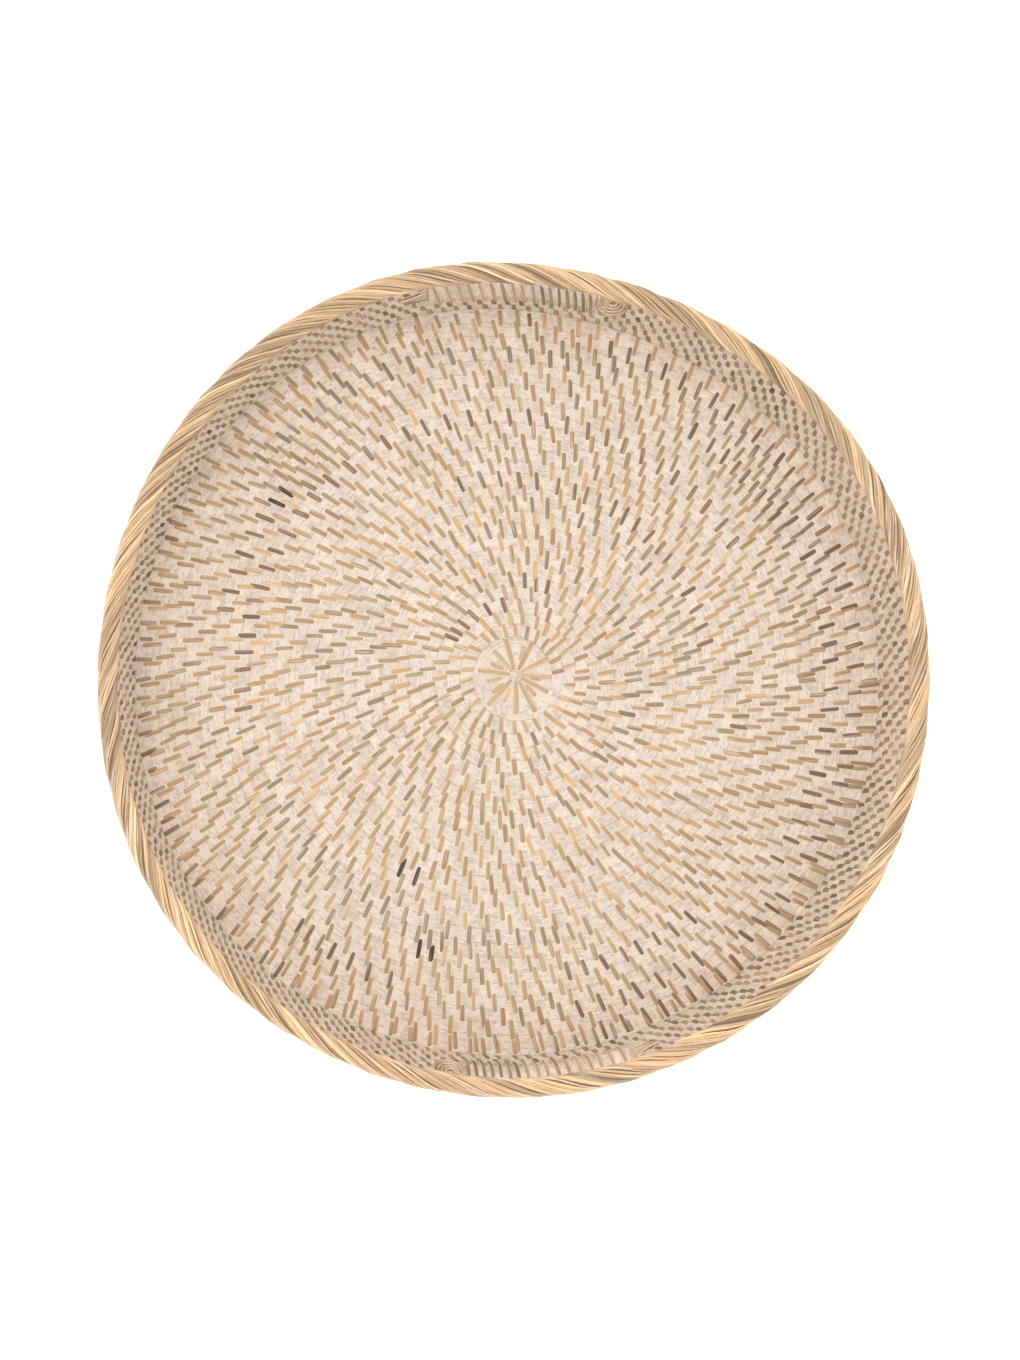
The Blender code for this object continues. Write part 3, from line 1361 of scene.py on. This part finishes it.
@dataclass
class WallCoil:
    """The stacked turns of the wall, whole below the slots and cut beside them."""

    gauge: Gauge
    stitch: CoilStitch
    spacing: float = 0.0090
    half_climb: float = 0.00402
    half_depth: float = 0.00210
    top_spare: float = 0.0022
    middle: Colour = (0.400, 0.285, 0.180)
    darkness: float = 0.80
    clear: float = math.radians(0.3)
    end_clear: float = math.radians(1.0)
    press: Press = Press(0.0032, 0.0003)

    def section(self, row: int) -> Object:
        """Return the leaning outline of one turn, with X outwards and Y down.

        Args:
            row: The row, counted from 0.

        Returns:
            The curve's object.
        """
        lean = self.gauge.lean
        points = []
        top = self.top_spare if row == self.gauge.rows - 1 else 0.0
        for climb, depth in coil_outline(self.half_climb, self.half_depth):
            climb += top if climb > 0.0 else 0.0
            radius = climb * math.sin(lean) + depth * math.cos(lean)
            height = climb * math.cos(lean) - depth * math.sin(lean)
            points.append((radius, -height, 0.0))
        return curve_object("wall_section", points, closed=True)

    def spans(self, row: int) -> list[tuple[float, float]]:
        """Return the stretches of a row that hold coil, as start and end angles.

        Args:
            row: The row, counted from 0.

        Returns:
            The start and end of each stretch.
        """
        if row < len(self.gauge.full_rows):
            return [(0.0, TURN)]
        clear = self.gauge.slot_half + self.end_clear
        north, south = self.gauge.slots
        south = south % TURN
        return [(north + clear, south - clear), (south + clear, north - clear + TURN)]

    def path(self, row: int, start: float, end: float) -> Object:
        """Return the path of one stretch of a row.

        Args:
            row: The row, counted from 0.
            start: The angle where it starts.
            end: The angle where it ends.

        Returns:
            The curve's object.
        """
        radius, height = self.gauge.row(row)
        whole = end - start > TURN - 0.01
        steps = max(8, int((end - start) / math.radians(1.5)))
        count = steps if whole else steps + 1
        points = [
            polar(radius, start + (end - start) * index / steps, height)
            for index in range(count)
        ]
        return curve_object(f"wall_path_{row}", points, closed=whole)

    def scatter(self, face: Face, row: int) -> Scatter:
        """Place one row's stitches on one face, clear of the slots.

        Args:
            face: The face to bind.
            row: The row, counted from 0.

        Returns:
            The places of the stitches.
        """
        random = np.random.default_rng(100 + row)
        seed = 60 + row + (9 if face is Face.INSIDE else 0)
        shades = ShadeRuns(seed=seed, longest=7, dull=0.35, middle=self.middle, unlike=0.18)
        places = Scatter()
        radius, height = self.gauge.row(row)
        last_whole = len(self.gauge.full_rows) - 1
        count = round(TURN * self.gauge.row(2)[0] / self.spacing)
        lean = self.gauge.lean
        for index in range(count):
            angle = (index + 0.5 * row + random.normal(0.0, 0.06)) * TURN / count
            if row > last_whole and self.gauge.in_slot(angle, self.clear):
                continue
            if row == last_whole and self.gauge.in_slot(angle, -3.0 * self.clear):
                continue
            out = polar(1.0, angle, 0.0)
            climb = out * math.sin(lean) + Vector((0.0, 0.0, math.cos(lean)))
            away = Vector((0.0, 0.0, math.sin(lean))) - out * math.cos(lean)
            face_way = away * face.value
            turn = basis(climb, face_way, self.stitch.tilt + random.normal(0.0, 0.05))
            size = Vector(random.normal((1.0, 1.0, 1.0), (0.05, 0.08, 0.08)))
            spot = polar(radius, angle, height) + face_way * (self.half_depth - 0.0001)
            tone = tuple(part * self.darkness for part in shades.next())
            places.put(spot, turn, size, tone, random.random())
        return places

    def build(self, maker: Maker) -> None:
        """Make every row of the wall and its stitches.

        Args:
            maker: Makes the bands and the strips.
        """
        template = self.stitch.template("wall_stitch")
        for row in range(self.gauge.rows):
            number = f"{row + 1:02d}"
            guides = [self.scatter(face, row).guide(f"row_places_{face.name}") for face in Face]
            for face, guide in zip(Face, guides):
                maker.strips(f"wall_stitches_{number}_{face.name.lower()}", guide, template)
            section = self.section(row)
            spans = self.spans(row)
            sides = ("",) if len(spans) == 1 else ("_west", "_east")
            for side, (start, end) in zip(sides, spans):
                path = self.path(row, start, end)
                shapes = (path, section, guides[0])
                nodes = [f"wall_coil_{number}{side}"]
                maker.band(f"wall_band_{number}{side}", shapes, self.press, nodes)
                discard(path)
            discard(section, *guides)
        discard(template)


@dataclass
class RimLashing:
    """Flat strands wound slantwise over the hoop, side by side round the whole edge."""

    gauge: Gauge
    strands: int = 343
    advance: float = 0.076
    strip_width: float = 0.00178
    strip_thickness: float = 0.0015
    bundle: int = 7
    hoop_share: float = 0.80
    hoop_sides: int = 14
    hoop_points: int = 160
    steps: int = 28
    bow: float = 1.1
    tuck: float = 0.6
    first_lay: float = 0.6
    stretches: Pair = (1.0, 1.09)
    base_light: float = 1.06
    south_light: float = 0.20
    middle: Colour = (0.93, 0.68, 0.43)
    patches: tuple[Triple, ...] = (
        (15.0, 17.0, 0.9),
        (198.0, 14.0, 0.55),
        (338.0, 10.0, 0.6),
        (262.0, 14.0, 0.55),
    )

    def strand(self, name: str, stretch: float) -> Object:
        """Return one strand that goes once round the hoop.

        Args:
            name: The strand's name.
            stretch: How much longer or shorter its slant is than usual.

        Returns:
            The strand's object, which crosses the top of the rim at angle 0.
        """
        centre = self.gauge.rim_radius
        half_width = self.gauge.rim_width / 2.0 - self.strip_thickness * self.tuck
        half_height = (self.gauge.rim_high - self.gauge.rim_low) / 2.0
        half_height -= self.strip_thickness * self.tuck
        level = (self.gauge.rim_high + self.gauge.rim_low) / 2.0
        path, normals = [], []
        for index in range(self.steps + 1):
            share = index / self.steps
            about = TURN * share - math.pi / 2.0
            angle = (0.5 - share) * self.advance * stretch / centre
            radius = centre + half_width * math.cos(about)
            path.append(polar(radius, angle, level + half_height * math.sin(about)))
            out = polar(math.cos(about) / half_width, angle, 0.0)
            up = Vector((0.0, 0.0, math.sin(about) / half_height))
            normals.append((out + up).normalized())
        strip = Strip(self.strip_width, self.strip_thickness, self.bow)
        return new_object(name, strip.mesh(name, path, normals))

    def coat_at(self, angle: float) -> float:
        """Return how much paint the lashing carries at an angle: it lies in patches.

        Args:
            angle: The angle.

        Returns:
            The amount, from 0 to about 1.
        """
        total = 0.1
        for middle, reach, amount in self.patches:
            away = math.degrees(math.remainder(angle - math.radians(middle), TURN))
            total += amount * math.exp(-((away / reach) ** 2))
        return total

    def build(self, maker: Maker, hoop: Material) -> None:
        """Make the strands in two lays, and the hoop under them.

        Args:
            maker: Makes the strands, in the lashing's own material.
            hoop: The hoop's material, dark brown as painted shade in the gaps between the strands.
        """
        random = np.random.default_rng(71)
        tones = [tone for tone in CaneTone if tone is not CaneTone.OLIVE]
        shades = ShadeRuns(
            seed=72, longest=2, tones=tones, dull=0.42, middle=self.middle, unlike=0.24
        )
        lays = [Scatter(), Scatter()]
        for index in range(self.strands):
            within = (index % self.bundle) / (self.bundle - 1)
            puff = math.sin(math.pi * within)
            shift = random.normal(0.0, 0.10) + 0.30 * (0.5 - within)
            angle = (index + shift) * TURN / self.strands
            swell = 1.0 + 0.0018 * puff + random.normal(0.0, 0.0005) - 0.0012
            lift = 1.0 + 0.008 * puff + random.normal(0.0, 0.003) - 0.006
            turn = Matrix.Rotation(angle, 3, "Z")
            coat = self.coat_at(angle) * random.uniform(0.2, 1.5)
            lay = lays[0] if random.random() < self.first_lay else lays[1]
            size = Vector((swell, swell, lift))
            lighter = self.base_light + self.south_light * max(0.0, -math.sin(angle))
            tone = tuple(part * lighter for part in shades.next())
            lay.put(ORIGIN, turn, size, tone, random.random(), coat)
        for number, (lay, stretch) in enumerate(zip(lays, self.stretches), start=1):
            strand = self.strand(f"strand_{number}", stretch)
            guide = lay.guide(f"strand_places_{number}")
            maker.strips(f"rim_lashing_lay_{number}", guide, strand, ["rim_lashing"])
            discard(strand, guide)
        self.hoop(hoop)

    def hoop(self, material: Any) -> None:
        """Make the round hoop that the strands lie on.

        Args:
            material: The hoop's material.
        """
        level = (self.gauge.rim_high + self.gauge.rim_low) / 2.0
        tube = self.gauge.rim_width / 2.0 * self.hoop_share
        path = circle(self.gauge.rim_radius, level, self.hoop_points)
        mesh = tube_mesh("rim_hoop_round", path, tube, tube, self.hoop_sides, closed=True)
        mesh.materials.append(material)
        settle(new_object("rim_hoop_round", mesh), ["rim_hoop"])


def tube_mesh(
    name: str, path: Sequence[Vector], across: float, up: float, sides: int, closed: bool
) -> Mesh:
    """Make an oval bar along a level path round the Z axis.

    Args:
        name: The mesh's name.
        path: Points along the middle of the bar.
        across: Half its width, away from the axis.
        up: Half its height.
        sides: Number of sides.
        closed: Whether it meets itself; if not, its ends are closed.

    Returns:
        A smooth closed mesh.
    """
    work = bmesh.new()
    rings = []
    for point in path:
        out = Vector((point.x, point.y, 0.0)).normalized()
        ring = []
        for side in range(sides):
            around = TURN * side / sides
            rise = Vector((0.0, 0.0, up * math.sin(around)))
            ring.append(work.verts.new(point + out * (across * math.cos(around)) + rise))
        rings.append(ring)
    following = rings[1:] + [rings[0]] if closed else rings[1:]
    for near, far in zip(rings, following):
        for side in range(sides):
            after = (side + 1) % sides
            work.faces.new((near[side], far[side], far[after], near[after]))
    if not closed:
        work.faces.new(rings[0])
        work.faces.new(rings[-1])
    bmesh.ops.recalc_face_normals(work, faces=work.faces)
    mesh = bpy.data.meshes.new(name)
    work.to_mesh(mesh)
    work.free()
    mesh.shade_smooth()
    return mesh


@dataclass
class SlotEdges:
    """The bound lip and ends of the two hand-hold slots."""

    gauge: Gauge
    wraps: int = 17
    wrap_width: float = 0.0032
    wrap_thickness: float = 0.0009
    wrap_reach: float = 0.0078
    crowding: float = 0.24
    lip_bulge: float = 0.0009
    lip_flare: float = 0.0030
    lip_rise: float = 0.0036
    slant: float = 0.0056
    strand_width: float = 0.0022
    strand_thickness: float = 0.0012
    strand_lift: float = 0.0008
    edge_wrap_width: float = 0.0030
    edge_wrap_thickness: float = 0.0010
    end_clear: float = math.radians(1.0)
    tail_strands: int = 5
    tail_length: float = 0.0195
    loop_strands: int = 4
    edge_strands: int = 6
    end_coat: float = 0.3

    def wall_spot(self, climb: float, depth: float, angle: float) -> Vector:
        """Return a point of the wall.

        Args:
            climb: How far up the slope it is, from the base of the first row.
            depth: How far out it is from the inner face.
            angle: Its angle.

        Returns:
            The point.
        """
        lean = self.gauge.lean
        radius, height = self.gauge.row(climb / self.gauge.row_step - 0.5)
        away = depth - self.gauge.thickness / 2.0
        radius += away * math.cos(lean)
        height -= away * math.sin(lean)
        return polar(radius, angle, height)

    @property
    def base(self) -> float:
        """Return the climb of the slots' lower edge."""
        return len(self.gauge.full_rows) * self.gauge.row_step

    def wrap(self, name: str) -> Object:
        """Return one strip that goes slantwise over the lip, from face to face.

        Args:
            name: Its name.

        Returns:
            The strip's object.
        """
        deep = self.gauge.thickness
        bulge, rise, reach = self.lip_bulge, self.lip_rise, self.wrap_reach
        inner = [
            (-reach, 0.0004),
            (-reach + 0.0007, -0.0003),
            (-reach / 2.0, -bulge * 0.8),
            (0.0, -bulge),
            (rise * 0.6, -bulge * 0.5),
            (rise * 0.95, deep * 0.22),
        ]
        outer = [
            (rise * 0.95, deep * 0.90),
            (rise * 0.65, deep + self.lip_flare * 0.85),
            (0.0, deep + self.lip_flare),
            (-reach / 2.0, deep + self.lip_flare * 0.45),
            (-reach + 0.0007, deep + 0.0003),
            (-reach, deep - 0.0004),
        ]
        course = inner + [(rise * 1.05, deep * 0.55)] + outer
        last = len(course) - 1
        path = []
        for index, (climb, depth) in enumerate(course):
            aside = self.slant * (index / last - 0.5) / self.gauge.rim_radius
            path.append(self.wall_spot(self.base + climb, depth, aside))
        middle = self.wall_spot(self.base - reach * 0.4, deep / 2.0, 0.0)
        normals = []
        for index, point in enumerate(path):
            ahead = path[min(index + 1, last)] - path[max(index - 1, 0)]
            normal = Vector((0.0, 1.0, 0.0)).cross(ahead).normalized()
            normals.append(normal if normal.dot(point - middle) > 0.0 else -normal)
        strip = Strip(self.wrap_width, self.wrap_thickness, 0.45)
        return new_object(name, strip.mesh(name, path, normals))

    def wrap_places(self, slot: float) -> Scatter:
        """Place the wraps of one lip, more crowded towards its right end.

        Args:
            slot: The angle of the slot's middle.

        Returns:
            The places of the wraps.
        """
        random = np.random.default_rng(81)
        tones = (CaneTone.STRAW, CaneTone.BISCUIT, CaneTone.NUT)
        shades = ShadeRuns(seed=82, longest=4, tones=tones, dull=0.2)
        places = Scatter()
        span = 2.0 * self.gauge.slot_half
        for index in range(self.wraps):
            share = (index + 0.4 + random.normal(0.0, 0.06)) / (self.wraps - 0.2)
            share += self.crowding * share * (share - 1.0)
            turn = Matrix.Rotation(slot + span * (share - 0.5), 3, "Z")
            size = Vector((1.0, random.normal(1.0, 0.08), 1.0))
            places.put(ORIGIN, turn, size, shades.next(), random.random())
        return places

    def lip(self, name: str, slot: float, paint: Any) -> None:
        """Make the rounded bar under the wraps of one lip.

        Args:
            name: The slot's name.
            slot: The angle of its middle.
            paint: The whitewashed material.
        """
        half = self.gauge.slot_half + math.radians(0.6)
        climb = self.base + self.lip_rise * 0.30
        middle = (self.gauge.thickness + self.lip_flare) / 2.0
        path = [self.wall_spot(climb, middle, slot + half * (i / 30 - 1.0)) for i in range(61)]
        across = middle + self.lip_bulge * 0.3
        mesh = tube_mesh(f"slot_{name}_lip_bar", path, across, self.lip_rise * 0.62, 12, False)
        mesh.materials.append(paint)
        settle(new_object(mesh.name, mesh), [f"slot_{name}_lip"])

    def face_strand(self, name: str, course: Sequence[Pair], centre: float) -> Mesh:
        """Sweep a strand that lies on the inner face of the wall.

        Args:
            name: The strand's name.
            course: Its points, as the way round from the centre and the climb.
            centre: The angle that it is measured from.

        Returns:
            The strand's mesh.
        """
        lean = self.gauge.lean
        path, normals = [], []
        last = len(course) - 1
        for index, (aside, climb) in enumerate(course):
            angle = centre + aside / self.gauge.rim_radius
            lift = -self.strand_lift if 0 < index < last else self.strand_lift
            path.append(self.wall_spot(climb, lift, angle))
            inward = -polar(math.cos(lean), angle, 0.0)
            normals.append(inward + Vector((0.0, 0.0, math.sin(lean))))
        strip = Strip(self.strand_width, self.strand_thickness, 0.6)
        ends = [min(1.0, 0.35 + 6.0 * min(i, last - i) / last) for i in range(last + 1)]
        return strip.mesh(name, path, normals, lambda share: ends[round(share * last)])

    def tail(self, name: str, centre: float) -> list[Mesh]:
        """Return the strands that leave a slot's left end and run out to a point.

        Args:
            name: The name of the slot's end.
            centre: The angle of the end.

        Returns:
            The strands' meshes.
        """
        top = self.gauge.rows * self.gauge.row_step
        strands = []
        for index in range(self.tail_strands):
            start = top - 0.0030 - 0.0036 * index
            finish = top - 0.0120 - 0.0008 * index
            course = []
            for step in range(11):
                share = step / 10
                sag = 0.0020 * math.sin(math.pi * share)
                climb = start + (finish - start) * share**0.8 - sag
                aside = (self.tail_length - 0.0012 * index) * share - 0.0020
                course.append((aside, climb))
            strands.append(self.face_strand(f"{name}_tail_{index}", course, centre))
        return strands

    def loops(self, name: str, centre: float) -> list[Mesh]:
        """Return the nested strands that hang in loops at a slot's right end.

        Args:
            name: The name of the slot's end.
            centre: The angle of the end.

        Returns:
            The strands' meshes.
        """
        top = self.gauge.rows * self.gauge.row_step
        strands = []
        for index in range(self.loop_strands):
            reach = 0.0030 + 0.0024 * index
            drop = 0.0070 + 0.0052 * index
            course = []
            for step in range(17):
                around = math.pi * step / 16
                climb = top - 0.0010 - drop * math.sin(around) ** 0.75
                course.append((reach * math.cos(around) - 0.0060, climb))
            strands.append(self.face_strand(f"{name}_loop_{index}", course, centre))
        return strands

    def edge_wraps(self, name: str, centre: float, hand: float) -> list[Mesh]:
        """Return the short wraps round the standing end of a slot.

        Args:
            name: The name of the slot's end.
            centre: The angle of the end.
            hand: 1 for the left end and -1 for the right end.

        Returns:
            The wraps' meshes.
        """
        random = np.random.default_rng(round(1000 * (centre % TURN)))
        top = self.gauge.rows * self.gauge.row_step
        deep = self.gauge.thickness
        strip = Strip(self.edge_wrap_width, self.edge_wrap_thickness, 0.45)
        strands = []
        for index in range(self.edge_strands):
            climb = self.base + 0.0030 + index * (top - self.base - 0.0045) / 5.4
            slope = 0.0016 * random.normal(1.0, 0.3)
            path, normals = [], []
            for step in range(13):
                around = math.pi * (step / 12 - 0.5)
                side = hand * (0.0042 - 0.0060 * math.cos(around)) / self.gauge.rim_radius
                depth = deep / 2.0 + (deep / 2.0 + 0.0005) * math.sin(around)
                path.append(self.wall_spot(climb + slope * math.sin(around), depth, centre + side))
                across = polar(1.0, centre, 0.0) * math.sin(around)
                tangent = Vector((-math.sin(centre), math.cos(centre), 0.0))
                normals.append((across - tangent * hand * math.cos(around)).normalized())
            strands.append(strip.mesh(f"{name}_{index}", path, normals))
        return strands

    def bound_end(self, name: str, slot: float, hand: float, maker: Maker) -> None:
        """Make the binding of one end of a slot, strand by strand in its own shade.

        Args:
            name: The frame's node that it stands for.
            slot: The angle of the slot's middle.
            hand: 1 for the left end and -1 for the right end.
            maker: Makes the strands.
        """
        centre = slot + hand * (self.gauge.slot_half + self.end_clear)
        strands = self.edge_wraps(name, centre, hand)
        strands += self.tail(name, centre) if hand > 0.0 else self.loops(name, centre)
        north = math.sin(slot) > 0.0
        dark = (CaneTone.NUT, CaneTone.BISCUIT, CaneTone.NUT, CaneTone.ROSY)
        pale = (CaneTone.HONEY, CaneTone.STRAW, CaneTone.BISCUIT)
        shades = ShadeRuns(
            seed=90 + round(hand), longest=1, tones=dark if north and hand > 0.0 else pale
        )
        made = []
        for index, mesh in enumerate(strands):
            places = Scatter()
            odd = index / len(strands)
            places.put(ORIGIN, Matrix.Identity(3), UNIT, shades.next(), odd, self.end_coat)
            guide = places.guide(f"{name}_place")
            template = new_object(mesh.name, mesh)
            values = {"Places": guide, "Strip": template, "Material": maker.cane}
            made.append(maker.copies.make(f"{name}_strand_{index}", values))
            discard(guide, template)
        settle(joined(f"{name}_binding", made), [name])

    def build(self, maker: Maker) -> None:
        """Make the lips, their wraps and the bound ends.

        Args:
            maker: Makes the strips.
        """
        for name, slot in zip(("north", "south"), self.gauge.slots):
            self.lip(name, slot, maker.paint)
            template = self.wrap(f"slot_{name}_wrap")
            guide = self.wrap_places(slot).guide(f"slot_{name}_places")
            maker.strips(f"slot_{name}_wraps", guide, template)
            discard(template, guide)
            for side, hand in (("left", 1.0), ("right", -1.0)):
                self.bound_end(f"slot_{name}_end_{side}", slot, hand, maker)


def joined(name: str, pieces: Sequence[Object]) -> Object:
    """Join plain mesh objects that share a material and attributes into one.

    Args:
        name: The new object's name.
        pieces: The objects, which are used up.

    Returns:
        The joined object.
    """
    first = pieces[0]
    with bpy.context.temp_override(
        active_object=first, object=first, selected_editable_objects=list(pieces)
    ):
        bpy.ops.object.join()
    first.name = name
    first.data.name = name
    return first


@dataclass
class Studio:
    """A pale floor, soft light and the camera above the basket."""

    camera_spot: Vector = field(default_factory=lambda: Vector((-0.1385, -0.0254, 1.80)))
    aim: Vector = field(default_factory=lambda: Vector((-0.0041, -0.0005, 0.060)))
    lens: float = 77.5
    floor_size: float = 12.0
    room_light: float = 0.92
    key_power: float = 15.0
    key_size: float = 1.2
    key_spot: Vector = field(default_factory=lambda: Vector((-0.7, 0.5, 2.5)))
    sensor: float = 36.0

    def build(self) -> None:
        """Set up the floor, the lights and the camera."""
        self.floor()
        self.lights()
        self.camera()

    def floor(self) -> None:
        """Lay the pale floor."""
        finish = PlainFinish("studio_floor", (0.93,) * 3, (0.91,) * 3, 3.0, 0.9, 0.55)
        half = self.floor_size / 2.0
        mesh = bpy.data.meshes.new("studio_floor")
        corners = [(-half, -half, 0), (half, -half, 0), (half, half, 0), (-half, half, 0)]
        mesh.from_pydata(corners, [], [(0, 1, 2, 3)])
        mesh.materials.append(finish.material())
        new_object("studio_floor", mesh)

    def lights(self) -> None:
        """Hang one wide soft lamp in a bright room."""
        world = bpy.data.worlds.new("studio_room")
        world.use_nodes = True
        background = world.node_tree.nodes["Background"]
        background.inputs["Color"].default_value = (1.0, 0.995, 0.985, 1.0)
        background.inputs["Strength"].default_value = self.room_light
        bpy.context.scene.world = world
        lamp = bpy.data.lights.new("key_lamp", "AREA")
        lamp.shape = "DISK"
        lamp.size = self.key_size
        lamp.energy = self.key_power
        holder = new_object("key_lamp", lamp)
        holder.location = self.key_spot
        holder.rotation_euler = (-holder.location).to_track_quat("-Z", "Y").to_euler()

    def camera(self) -> None:
        """Set the camera over the basket, looking down at its rim."""
        data = bpy.data.cameras.new("camera")
        data.lens = self.lens
        data.sensor_width = self.sensor
        holder = new_object("camera", data)
        holder.location = self.camera_spot
        back = (self.camera_spot - self.aim).normalized()
        right = Vector((0.0, 1.0, 0.0)).cross(back).normalized()
        up = back.cross(right)
        holder.rotation_euler = Matrix((right, up, back)).transposed().to_euler()
        bpy.context.scene.camera = holder
        bpy.context.scene.view_settings.view_transform = "Standard"


def main() -> None:
    """Build the whole basket and its studio."""
    logging.basicConfig(level=logging.INFO, format="%(message)s")
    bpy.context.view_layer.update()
    gauge = Gauge()
    paint = WhitewashFinish().material()
    cane = SplitCaneFinish().material()
    lashing = SplitCaneFinish(
        name="lashing_cane", paint_left=0.15, edge_paint=0.0, grain_across=1.6
    ).material()
    # Painted shade: the hoop is coloured dark brown so that the gaps between the lashing's strands
    # show as shade.
    hoop = PlainFinish("hoop_cane", (0.30, 0.19, 0.11), (0.18, 0.11, 0.06), 240.0, 0.7)
    maker = Maker(band_tree(), copies_tree(), paint, cane)
    wall_stitch = CoilStitch(length=0.0088, width=0.0050, tilt=math.radians(12.0))
    FloorCoil(gauge, CoilStitch(), StitchPattern()).build(maker)
    CentreStart(gauge).build(maker)
    WallCoil(gauge, wall_stitch).build(maker)
    SlotEdges(gauge).build(maker)
    RimLashing(gauge).build(replace(maker, cane=lashing), hoop.material())
    Studio().build()


if __name__ == "__main__":
    main()
